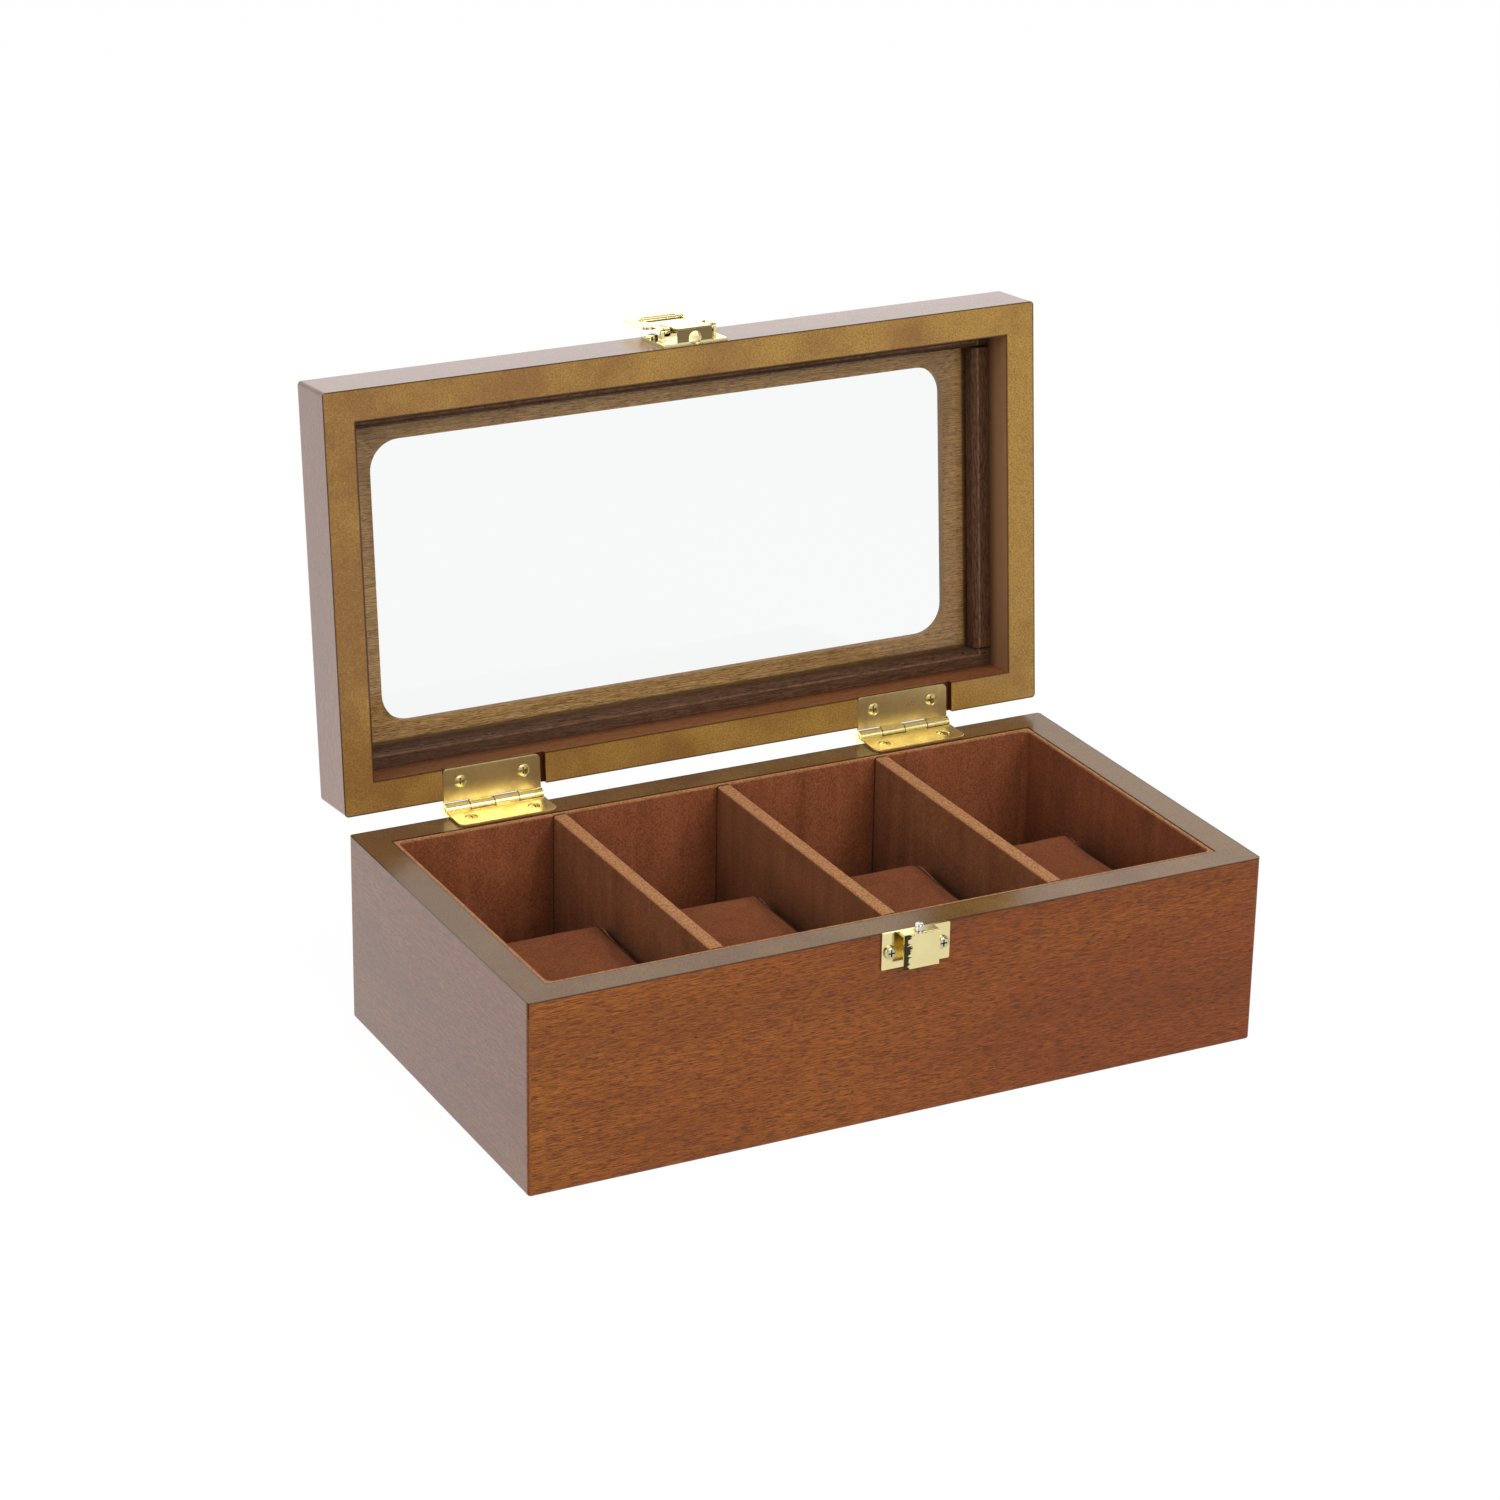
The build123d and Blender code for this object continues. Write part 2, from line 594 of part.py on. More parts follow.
with BuildPart() as hasp_frame:
    with BuildSketch(FRONT.offset(PIVOT_OUT - HASP_SHEET / 2)) as sheet:
        with Locations((0, LID_RIM + (HASP_WIDE_FROM + HASP_END) / 2)):
            Rectangle(HASP_WIDE, HASP_END - HASP_WIDE_FROM)
        fillet(sheet.vertices().group_by(Axis.Z)[-1], HASP_ROUND)
        with Locations((0, LID_RIM + (PIVOT_UP + HASP_WIDE_FROM) / 2)):
            Rectangle(HASP_WINDOW + 2 * HASP_ARM, HASP_WIDE_FROM - PIVOT_UP)
        with Locations((0, LID_RIM + (PIVOT_UP + HASP_BAR_FROM) / 2)):
            Rectangle(HASP_WINDOW, HASP_BAR_FROM - PIVOT_UP, mode=Mode.SUBTRACT)
    extrude(amount=HASP_SHEET)
    for side in (-1, 1):
        with BuildSketch(SIDE_VIEW.offset(side * arm_middle)):
            with Locations(pivot):
                Circle(EYE_RADIUS)
        extrude(amount=HASP_ARM / 2, both=True)
    crosswise(PIVOT_RADIUS + RUNNING_GAP, pivot, HASP_WINDOW, Mode.SUBTRACT)
    ball_ended_bar(Mode.SUBTRACT)
keep_on_lid("hasp_frame", hasp_frame.part)

with BuildPart() as hasp_cross_bar:
    ball_ended_bar()
keep_on_lid("hasp_cross_bar", hasp_cross_bar.part)
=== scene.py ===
"""Looks for the watch box: lacquered wood, velvet, padded watch pillows, brass and glass.

Everything is in metres in the box's own frame: X along the front, -Y the front, +Z up.
"""

import json
import math

import bmesh
import bpy
from mathutils import Matrix, Vector, bvhtree, noise


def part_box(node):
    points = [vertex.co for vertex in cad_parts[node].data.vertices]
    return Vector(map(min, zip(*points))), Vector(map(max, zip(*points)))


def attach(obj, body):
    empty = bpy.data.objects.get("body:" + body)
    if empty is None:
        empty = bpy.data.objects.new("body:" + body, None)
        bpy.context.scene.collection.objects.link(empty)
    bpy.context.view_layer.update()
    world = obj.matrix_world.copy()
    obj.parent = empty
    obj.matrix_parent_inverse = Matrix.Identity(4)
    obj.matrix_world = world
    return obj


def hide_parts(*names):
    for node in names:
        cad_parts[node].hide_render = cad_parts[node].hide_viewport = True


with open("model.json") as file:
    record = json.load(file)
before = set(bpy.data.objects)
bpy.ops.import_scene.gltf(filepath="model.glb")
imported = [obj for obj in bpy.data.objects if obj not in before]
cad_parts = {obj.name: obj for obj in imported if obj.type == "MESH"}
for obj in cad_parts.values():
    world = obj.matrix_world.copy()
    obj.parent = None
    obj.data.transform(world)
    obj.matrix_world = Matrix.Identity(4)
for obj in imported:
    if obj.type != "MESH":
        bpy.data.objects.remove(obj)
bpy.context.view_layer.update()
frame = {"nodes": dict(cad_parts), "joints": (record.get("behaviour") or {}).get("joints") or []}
nodes = frame["nodes"]

MM = 0.001

# the carcass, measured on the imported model
HALF_X = -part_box("base_left_panel")[0].x
HALF_Y = -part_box("base_front_panel")[0].y
INNER_X = -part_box("base_left_panel")[1].x
INNER_Y = -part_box("base_front_panel")[1].y
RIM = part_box("base_left_panel")[1].z
LINING_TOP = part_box("lining_front")[1].z
DIVIDER_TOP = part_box("divider_1")[1].z
DIVIDER_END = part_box("divider_1")[1].y
CATCH_LOW, CATCH_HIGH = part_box("catch_plate")

# the lid, as it lies when it is shut
LID_JOINT = next(joint for joint in frame["joints"] if joint["name"] == "lid_hinge")
LID_ANGLE = math.radians(-LID_JOINT["range_deg"][0])
LID_PIVOT = Vector(LID_JOINT["pos_m"])
LID_GAP = 0.2 * MM
LID_HEIGHT = 25 * MM
LID_RIM = RIM + LID_GAP
LID_TOP = LID_RIM + LID_HEIGHT


# ---------------------------------------------------------------- shader helpers
def feed(tree, node, inputs):
    """Gives a node its inputs. Each is a value, or an output socket to link from."""
    for key, value in inputs.items():
        if isinstance(value, bpy.types.NodeSocket):
            tree.links.new(value, node.inputs[key])
        else:
            node.inputs[key].default_value = value


def add(tree, kind, inputs=None, **settings):
    """Adds a shader node with its settings and inputs."""
    made = tree.nodes.new(kind)
    for key, value in settings.items():
        setattr(made, key, value)
    feed(tree, made, inputs or {})
    return made


def new_material(name):
    """A new node material, with its tree and its Principled shader."""
    material = bpy.data.materials.new(name)
    material.use_nodes = True
    tree = material.node_tree
    return material, tree, tree.nodes["Principled BSDF"]


def set_material(names, material):
    """Gives each named CAD node this one material."""
    for name in names:
        mesh = nodes[name].data
        mesh.materials.clear()
        mesh.materials.append(material)


def math_node(tree, operation, first, second=0.0, third=0.0):
    """One arithmetic step on up to three numbers or sockets."""
    return add(tree, "ShaderNodeMath", {0: first, 1: second, 2: third}, operation=operation).outputs[0]


def plus(tree, first, second):
    """The sum of two numbers or sockets."""
    return math_node(tree, "ADD", first, second)


def minus(tree, first, second):
    """The first number or socket less the second."""
    return math_node(tree, "SUBTRACT", first, second)


def times(tree, first, second):
    """The product of two numbers or sockets."""
    return math_node(tree, "MULTIPLY", first, second)


def absolute(tree, value):
    """The value without its sign."""
    return math_node(tree, "ABSOLUTE", value)


def lowest(tree, first, *others):
    """The least of several numbers or sockets."""
    for other in others:
        first = math_node(tree, "MINIMUM", first, other)
    return first


def highest(tree, first, *others):
    """The greatest of several numbers or sockets."""
    for other in others:
        first = math_node(tree, "MAXIMUM", first, other)
    return first


def fade(tree, value, full, none):
    """1 where the value is at full or past it, fading to 0 at none."""
    inputs = {"Value": value, "From Min": none, "From Max": full, "To Min": 0.0, "To Max": 1.0}
    return add(tree, "ShaderNodeMapRange", inputs, clamp=True).outputs[0]


def ramp(tree, factor, *stops):
    """A grey ramp over the factor, through (position, level) stops."""
    made = add(tree, "ShaderNodeValToRGB", {"Fac": factor})
    for element, (position, level) in zip(made.color_ramp.elements, stops):
        element.position = position
        element.color = (level, level, level, 1)
    return made.outputs["Color"]


def opaque(colour):
    """A colour with full alpha. A socket stays as it is."""
    return colour if isinstance(colour, bpy.types.NodeSocket) else (*colour, 1)


def mix(tree, factor, first, second):
    """Blends two colours, from the first at factor 0 to the second at factor 1."""
    made = add(tree, "ShaderNodeMix", data_type="RGBA")
    feed(tree, made, {0: factor, 6: opaque(first), 7: opaque(second)})
    return made.outputs[2]


def darker(colour, share):
    """The colour at a share of its brightness."""
    return tuple(level * share for level in colour)


def shut_coords(tree, on_lid=False):
    """Coordinates that stay with the piece. On the lid they are turned back to where it shuts."""
    coords = add(tree, "ShaderNodeTexCoord").outputs["Object"]
    if not on_lid:
        return coords
    turn = Matrix.Rotation(LID_ANGLE, 3, "X")
    inputs = {"Vector": coords, "Rotation": (LID_ANGLE, 0, 0), "Location": LID_PIVOT - turn @ LID_PIVOT}
    return add(tree, "ShaderNodeMapping", inputs).outputs[0]


def place_of(tree, on_lid=False):
    """The X, Y and Z of the same coordinates."""
    return add(tree, "ShaderNodeSeparateXYZ", {0: shut_coords(tree, on_lid)}).outputs


def noise_node(tree, scale, detail=4.0, rough=0.5, distortion=0.0, shift=(0, 0, 0), on_lid=False):
    """A noise value between 0 and 1. scale is in lumps per metre, the same or one for each axis."""
    scales = scale if isinstance(scale, tuple) else (scale, scale, scale)
    stretch = {"Vector": shut_coords(tree, on_lid), "Scale": scales, "Location": shift}
    inputs = {
        "Vector": add(tree, "ShaderNodeMapping", stretch).outputs[0],
        "Scale": 1.0,
        "Detail": detail,
        "Roughness": rough,
        "Distortion": distortion,
    }
    return add(tree, "ShaderNodeTexNoise", inputs).outputs[0]


def bump_from(tree, height, strength, depth):
    """A normal roughened by the height."""
    inputs = {"Height": height, "Strength": strength, "Distance": depth}
    return add(tree, "ShaderNodeBump", inputs).outputs[0]


# ---------------------------------------------------------------- wood
# light, reddish, dark and pore tones of the stain
FRONT_TONES = ((0.46, 0.150, 0.018), (0.34, 0.084, 0.014), (0.170, 0.042, 0.009), (0.048, 0.013, 0.005))
# the front's stain at 0.72 of its brightness: painted shade for faces that get less light, the sides,
# the lid's front rail and the panel's outer face
SHADED_TONES = tuple(darker(tone, 0.72) for tone in FRONT_TONES)
PANEL_TONES = ((0.66, 0.390, 0.150), (0.50, 0.280, 0.100), (0.30, 0.160, 0.062), (0.110, 0.052, 0.022))
BEAD_TONES = ((0.165, 0.082, 0.042), (0.120, 0.056, 0.029), (0.065, 0.030, 0.017), (0.022, 0.010, 0.006))
# light and dark tones of the sawn rims, and their deep and golden grains
BASE_RIM_TONES = ((0.27, 0.145, 0.040), (0.20, 0.092, 0.026), (0.095, 0.040, 0.013), (0.39, 0.24, 0.075))
LID_RIM_TONES = ((0.46, 0.265, 0.060), (0.31, 0.155, 0.043), (0.19, 0.082, 0.018), (0.66, 0.43, 0.12))
# the pale tone of the painted light on the walls' inner faces
INSIDE_LIT_TONE = (0.46, 0.26, 0.13)
# the pale tone along the beads' arris: wear and a painted highlight
BEAD_WEAR_AND_HIGHLIGHT = (0.42, 0.24, 0.13)

# how fast the stain reddens along X, and how fast painted light pales the rims to the right, per metre
REDDER_TO_THE_RIGHT = 0.6
RIM_PAINTED_LIGHT_TO_THE_RIGHT = 1.1

# lumps per metre (across the grain, along it)
BROAD_FIGURE = (9, 5)
FINE_FIGURE = (60, 7)
STREAKS = (4400, 140)
PORES = (6000, 420)
RIM_GRAINS = 1700
RIM_CLOUDS = 40
# the breaks in the beads' pale arris line of wear and painted highlight
BEAD_WEAR_AND_HIGHLIGHT_BREAKS = 420

# the share of the lacquer that a rim has lost, and how much painted light pales the inner faces, by
# their grain
LID_RIM_DULLING, BASE_RIM_DULLING = 0.45, 0.1
INSIDE_PAINTED_LIGHT = {"x": 0.2, "y": 0.6}
BEAD_COAT, PANEL_COAT, BOTTOM_COAT = 0.3, 0.18, 0.3
BASE_COAT_IOR, LID_COAT_IOR = 1.33, 1.5

# how strongly painted shade deep by the bead and inside the mortises, the dark edge lines and the bead's
# painted shadow cover the stain
RECESS_SHADE = 0.8
MORTISE_SHADE = 0.9
EDGE_DARK = 0.8
BEAD_SHADOW = 0.85

# distances at which each feature is full, and at which it has faded out
RIM_FADE = (0.15 * MM, 0.3 * MM)
INSIDE_FADE = (0.05 * MM, 0.15 * MM)
RECESS_SHADE_FADE = (14 * MM, 8 * MM)
MORTISE_FADE = (0.15 * MM, 0.3 * MM)
EDGE_FADE = (0.25 * MM, 0.6 * MM)
BEAD_WEAR_AND_HIGHLIGHT_FADE = (0.15 * MM, 0.55 * MM)
BEAD_SHADOW_FADE = (0.3 * MM, 1.1 * MM)
OUTER_FACE_FADE = (0.3 * MM, 0.6 * MM)

MORTISE_REACH = 6 * MM
BEAD_REACH = 6.4 * MM
BEAD_ROUND = 2.2 * MM
GRAIN_ALONG = {"front": "x", "back": "x", "left": "y", "right": "y"}

# each piece has its own seed: walls 1 to 4, rails 5 to 8, beads 9 to 12, and these two
BOTTOM_SEED, PANEL_SEED = 13, 14
RAIL_SEEDS_AFTER, BEAD_SEEDS_AFTER = 4, 8
# how far one seed shifts a piece's figure, in lumps
SEED_SHIFT = (0.731, 0.417, 0.293)


def wall_distances(tree, place, on_lid):
    """For a point on a carcass wall, its distances in metres from the wall's features.

    Gives the depth below the rim's plane, the distances outside the wall's inner face and inside
    its outer face, and the distance from the nearest sharp edge.
    """
    rim, far = (LID_RIM, LID_TOP) if on_lid else (RIM, 0.0)
    size_x = absolute(tree, place[0])
    size_y = absolute(tree, place[1])
    to_x = minus(tree, HALF_X, size_x)
    to_y = minus(tree, HALF_Y, size_y)
    depth = absolute(tree, minus(tree, place[2], rim))
    to_far = absolute(tree, minus(tree, place[2], far))
    from_inside = highest(tree, minus(tree, size_x, INNER_X), minus(tree, size_y, INNER_Y))
    from_outside = lowest(tree, to_x, to_y)
    outer_edge = highest(tree, from_outside, lowest(tree, highest(tree, to_x, to_y), depth, to_far))
    to_edge = lowest(tree, outer_edge, highest(tree, from_inside, depth))
    return depth, from_inside, from_outside, to_edge


def sawn_rim(tree, place, rim_tones, shift, on_lid):
    """The granular colour of a rim, in clouds, made paler to the right by painted light."""
    light, dark, deep, gold = rim_tones
    grains = noise_node(tree, RIM_GRAINS, 3, 0.7, shift=shift, on_lid=on_lid)
    cloud = noise_node(tree, RIM_CLOUDS, 4, 0.6, on_lid=on_lid)
    # painted light: the rim paler to the right
    cloud = minus(tree, cloud, times(tree, place[0], RIM_PAINTED_LIGHT_TO_THE_RIGHT))
    shown = mix(tree, ramp(tree, cloud, (0.35, 0.0), (0.65, 1.0)), light, dark)
    shown = mix(tree, ramp(tree, grains, (0.36, 0.60), (0.56, 0.0)), shown, deep)
    return mix(tree, ramp(tree, grains, (0.58, 0.0), (0.78, 0.50)), shown, gold)


def wall_wear_and_painted_light(tree, place, base, pore, rim_tones, grain, shift, on_lid):
    """A carcass wall's inner face, sawn rim, mortises and dark edges over its stain, with painted light
    and shade.

    Painted light makes the inner face paler, more on the left and right walls. Painted shade
    darkens the inner face deep down where it meets the bead, and the inside of the hinge mortises,
    and a thin dark line runs along every sharp edge. Gives the colour, and how far a point is on the
    rim.
    """
    depth, from_inside, from_outside, to_edge = wall_distances(tree, place, on_lid)
    on_rim = fade(tree, depth, *RIM_FADE)
    inside = fade(tree, from_inside, *INSIDE_FADE)
    # painted light: the inner face paler, more on the left and right walls
    base = mix(tree, times(tree, inside, INSIDE_PAINTED_LIGHT[grain]), base, INSIDE_LIT_TONE)
    base = mix(tree, on_rim, base, sawn_rim(tree, place, rim_tones, shift, on_lid))
    # painted shade on the inner face, deep down by the bead
    shaded_by_bead = times(tree, inside, fade(tree, depth, *RECESS_SHADE_FADE))
    base = mix(tree, times(tree, shaded_by_bead, RECESS_SHADE), base, pore)
    # painted shade inside the hinge mortises
    buried = lowest(tree, from_inside, from_outside, depth, minus(tree, MORTISE_REACH, depth))
    mortise = minus(tree, 1.0, fade(tree, buried, *MORTISE_FADE))
    base = mix(tree, times(tree, mortise, MORTISE_SHADE), base, pore)
    line = fade(tree, to_edge, *EDGE_FADE)
    return mix(tree, times(tree, line, EDGE_DARK), base, pore), on_rim


def bead_ridge(tree, place):
    """A broken pale line along the bead's arris, of wear and a painted highlight."""
    in_x = minus(tree, INNER_X, absolute(tree, place[0]))
    in_y = minus(tree, INNER_Y, absolute(tree, place[1]))
    off = absolute(tree, minus(tree, lowest(tree, in_x, in_y), BEAD_REACH - BEAD_ROUND))
    worn_and_lit = noise_node(tree, BEAD_WEAR_AND_HIGHLIGHT_BREAKS, 3, 0.7, on_lid=True)
    line = fade(tree, off, *BEAD_WEAR_AND_HIGHLIGHT_FADE)
    return times(tree, line, ramp(tree, worn_and_lit, (0.40, 0.12), (0.62, 0.42)))


def bead_shadow(tree, place):
    """How far the window panel lies in the shadow of its bead."""
    past_x = minus(tree, absolute(tree, place[0]), INNER_X - BEAD_REACH)
    past_y = minus(tree, absolute(tree, place[1]), INNER_Y - BEAD_REACH)
    to_bead = times(tree, highest(tree, past_x, past_y), -1.0)
    return times(tree, fade(tree, to_bead, *BEAD_SHADOW_FADE), BEAD_SHADOW)


def wood(name, tones, grain, seed, on_lid=False, coat=1.0, coat_ior=BASE_COAT_IOR,
         rim_tones=None, top_tones=None, ridged=False):
    """Stained wood under satin lacquer: long figure, short wavy streaks and fine dark pores.

    tones are the light, the reddish, the dark and the pore colour. A carcass wall has rim_tones
    for its sawn rim, which carries less lacquer. The window panel is stained and lacquered in
    top_tones on its outer face only, and has a painted shadow by its beads. A bead is ridged:
    a pale line of wear and painted highlight runs along its arris.
    """
    pore = tones[3]
    material, tree, shader = new_material(name)
    shift = tuple(seed * lumps for lumps in SEED_SHIFT)
    place = place_of(tree, on_lid)

    def along_grain(across_along, detail, rough, distortion=0.0):
        """A noise drawn out along the grain."""
        across, along = across_along
        scale = (along, across, across) if grain == "x" else (across, along, across)
        return noise_node(tree, scale, detail, rough, distortion, shift, on_lid)

    broad = along_grain(BROAD_FIGURE, 4, 0.55, 0.5)
    broad = plus(tree, broad, times(tree, place[0], REDDER_TO_THE_RIGHT))
    figure = along_grain(FINE_FIGURE, 5, 0.6, 0.5)
    streak = along_grain(STREAKS, 2, 0.5, 0.05)
    pores = along_grain(PORES, 2, 0.6)

    def figured(light, red, dark, pore):
        """The figure in four tones."""
        shown = mix(tree, ramp(tree, broad, (0.36, 0.0), (0.64, 1.0)), light, red)
        shown = mix(tree, ramp(tree, figure, (0.42, 0.0), (0.75, 0.6)), shown, dark)
        shown = mix(tree, ramp(tree, streak, (0.42, 0.0), (0.60, 0.9)), shown, dark)
        return mix(tree, ramp(tree, pores, (0.50, 0.0), (0.66, 0.9)), shown, pore)

    base = figured(*tones)
    lacquer = coat
    if rim_tones:
        base, on_rim = wall_wear_and_painted_light(tree, place, base, pore, rim_tones, grain, shift, on_lid)
        dulling = LID_RIM_DULLING if on_lid else BASE_RIM_DULLING
        lacquer = minus(tree, coat, times(tree, on_rim, coat * dulling))
    # a pale line of wear and painted highlight along a bead's arris
    if ridged:
        base = mix(tree, bead_ridge(tree, place), base, BEAD_WEAR_AND_HIGHLIGHT)
    if top_tones:
        base = mix(tree, bead_shadow(tree, place), base, pore)
        outer = fade(tree, minus(tree, LID_TOP, place[2]), *OUTER_FACE_FADE)
        base = mix(tree, outer, base, figured(*top_tones))
        lacquer = math_node(tree, "MULTIPLY_ADD", outer, 1.0 - coat, coat)
    feed(tree, shader, {
        "Base Color": base,
        "Roughness": 0.6,
        "Specular IOR Level": 0.0,
        "Coat Weight": lacquer,
        "Coat Roughness": 0.2,
        "Coat IOR": coat_ior,
        "Normal": bump_from(tree, times(tree, pores, -1.0), 0.10, 0.1 * MM),
    })
    return material


def finish_wood():
    """Stains the walls, the lid's rails and beads, the bottom and the window panel."""
    rail = {"on_lid": True, "coat_ior": LID_COAT_IOR, "rim_tones": LID_RIM_TONES}
    bead = {"on_lid": True, "coat": BEAD_COAT, "ridged": True}
    # the panel's outer face takes the stain darkened as painted shade
    panel = {"on_lid": True, "coat": PANEL_COAT, "coat_ior": LID_COAT_IOR, "top_tones": SHADED_TONES}
    for seed, (side, grain) in enumerate(GRAIN_ALONG.items(), start=1):
        # the side walls and the lid's front rail take the stain darkened as painted shade
        wall_tones = FRONT_TONES if grain == "x" else SHADED_TONES
        rail_tones = SHADED_TONES if side == "front" else wall_tones
        wall_wood = wood(f"base_{side}_wood", wall_tones, grain, seed, rim_tones=BASE_RIM_TONES)
        rail_wood = wood(f"lid_{side}_wood", rail_tones, grain, seed + RAIL_SEEDS_AFTER, **rail)
        bead_wood = wood(f"bead_{side}_wood", BEAD_TONES, grain, seed + BEAD_SEEDS_AFTER, **bead)
        set_material([f"base_{side}_panel"], wall_wood)
        set_material([f"lid_{side}_rail"], rail_wood)
        set_material([f"bead_{side}"], bead_wood)
    set_material(["base_bottom"], wood("bottom_wood", FRONT_TONES, "x", BOTTOM_SEED, coat=BOTTOM_COAT))
    set_material(["lid_window_panel"], wood("panel_wood", PANEL_TONES, "x", PANEL_SEED, **panel))


# ---------------------------------------------------------------- velvet
# shaded and glowing tones of each cloth
LINING_CLOTH = ((0.225, 0.066, 0.026), (0.36, 0.112, 0.045))
DIVIDER_CLOTH = ((0.225, 0.076, 0.030), (0.36, 0.135, 0.055))
PILLOW_CLOTH = ((0.245, 0.070, 0.026), (0.33, 0.102, 0.040))
WELT_CLOTH = ((0.30, 0.105, 0.050), (0.42, 0.165, 0.085))
THREAD = ((0.060, 0.020, 0.010), (0.11, 0.040, 0.018))
# the tan and pale tones of the cloth's top edges: opened pile and a painted sheen
EDGE_TAN, EDGE_PALE = (0.33, 0.132, 0.052), (0.70, 0.34, 0.145)
SEAM_TONE = (0.030, 0.009, 0.004)
SHEEN_TINT = (0.95, 0.62, 0.42, 1)
# lumps per metre
NAP_CLOUDS = 38
NAP_BRUSHING = (150, 150, 14)
FIBRES = 1500
CORNER_SHADOW_REACH = 32 * MM
DIVIDER_END_SHADOW = 0.7 * MM
SEAM_FADE = (0.35 * MM, 0.8 * MM)
FOLD_FADE = (0.35 * MM, 0.9 * MM)
END_FADE = (0.1 * MM, 0.5 * MM)


def velvet(name, shade, glow, edge_height=None, dark_ends=None, seams=()):
    """Short-pile suede cloth: mottled nap, salt-and-pepper fibres, painted shade in its corners and a
    weak sheen.

    Where the cloth is folded over a top edge, at edge_height, it shows paler: the opened pile, and a
    painted sheen.
    dark_ends is the distance from the middle at which a divider's ends fall into shadow, and
    seams are the places across X where the cloth is pulled into a dark seam.
    """
    material, tree, shader = new_material(name)
    place = place_of(tree)
    clouds = noise_node(tree, NAP_CLOUDS, 6, 0.68, 0.6)
    brushed = noise_node(tree, NAP_BRUSHING, 3, 0.6, 0.3)
    nap = math_node(tree, "MULTIPLY_ADD", brushed, 0.5, times(tree, clouds, 0.5))
    fibre = noise_node(tree, FIBRES, 3, 0.75)
    coarse = darker(shade, 0.35)
    pale = tuple(min(1.0, level * 1.7) for level in glow)
    colour = mix(tree, ramp(tree, nap, (0.36, 0.0), (0.64, 1.0)), shade, glow)
    colour = mix(tree, ramp(tree, fibre, (0.34, 0.55), (0.52, 0.0)), colour, coarse)
    colour = mix(tree, ramp(tree, fibre, (0.54, 0.0), (0.72, 0.45)), colour, pale)
    # painted shade that darkens the cloth in corners and deep down
    open_air = add(tree, "ShaderNodeAmbientOcclusion", {"Distance": CORNER_SHADOW_REACH}, samples=4)
    dim = ramp(tree, open_air.outputs["AO"], (0.12, 0.85), (0.62, 0.0))
    colour = mix(tree, dim, colour, darker(shade, 0.38))
    for seam in seams:
        off = absolute(tree, minus(tree, place[0], seam))
        colour = mix(tree, fade(tree, off, *SEAM_FADE), colour, SEAM_TONE)
    # the pale top edges: opened pile and a painted sheen
    if edge_height:
        to_edge = minus(tree, edge_height, place[2])
        worn_and_lit = mix(tree, ramp(tree, fibre, (0.36, 0.0), (0.62, 1.0)), EDGE_TAN, EDGE_PALE)
        colour = mix(tree, fade(tree, to_edge, *FOLD_FADE), colour, worn_and_lit)
    if dark_ends:
        to_end = minus(tree, dark_ends, absolute(tree, place[1]))
        colour = mix(tree, fade(tree, to_end, *END_FADE), colour, coarse)
    feed(tree, shader, {
        "Base Color": colour,
        "Roughness": 0.95,
        "Specular IOR Level": 0.1,
        "Sheen Weight": 0.10,
        "Sheen Roughness": 0.5,
        "Sheen Tint": SHEEN_TINT,
        "Normal": bump_from(tree, fibre, 0.6, 0.25 * MM),
    })
    return material


def finish_velvet():
    """Covers the lining boards and the dividers."""
    lining = velvet("lining_velvet", *LINING_CLOTH, LINING_TOP)
    set_material([name for name in nodes if name.startswith("lining")], lining)
    divider = velvet("divider_velvet", *DIVIDER_CLOTH, DIVIDER_TOP, DIVIDER_END - DIVIDER_END_SHADOW)
    set_material([name for name in nodes if name.startswith("divider")], divider)


# ---------------------------------------------------------------- metal and glass
# a clean tone, a dull tone, a roughness and the size of the dull spots in lumps per metre
BRASS = ((1.0, 0.83, 0.39), (0.74, 0.58, 0.23), 0.27, 240)
BRIGHT_BRASS = ((0.93, 0.82, 0.44), (0.86, 0.72, 0.34), 0.13, 60)
SCREW_BRASS = ((0.74, 0.66, 0.42), (0.55, 0.48, 0.30), 0.22, 400)
STEEL = ((0.78, 0.77, 0.74), (0.62, 0.61, 0.58), 0.20, 120)
BRAD_STEEL = ((0.11, 0.09, 0.08), (0.06, 0.05, 0.04), 0.40, 400)
HUMP_REFLECTED_TONE = (0.11, 0.055, 0.016)
HOOD_TONE = darker(BRIGHT_BRASS[1], 0.06)
GLASS_TINT = (0.965, 0.975, 0.97, 1)
GLASS_IOR = 1.4
# lumps per metre
GRIT = 2600
HOOD_STREAKS = (150, 150, 800)
# how near a surface has to be to count as closing in a crevice
CREVICE, HASP_CREVICE, LATCH_CREVICE = 1.6 * MM, 5 * MM, 4 * MM

HOOD_WIDTH = 13.4 * MM
HOOD_LEFT = (CATCH_LOW.x + CATCH_HIGH.x - HOOD_WIDTH) / 2
HOOD_FRONT = CATCH_LOW.y
# the reflection's ragged edge starts a little left of the hood and reaches in by up to RAGGED
RAGGED = 9 * MM
RAGGED_START = HOOD_LEFT - 2.4 * MM
RAGGED_FADE = (-0.1 * MM, 0.15 * MM)
HOOD_FACE_FADE = (HOOD_FRONT + 0.3 * MM, HOOD_FRONT + 0.5 * MM)

# the latch's folded strip has a painted dark reflection near the lid's rim, where it stands proud of the
# lid
HUMP_REFLECTION_SHARE = 0.85
HUMP_END_FADE = (LID_RIM + 1.1 * MM, LID_RIM + 1.6 * MM)
HUMP_PROUD_FADE = (-HALF_Y - 1.3 * MM, -HALF_Y - 1.0 * MM)


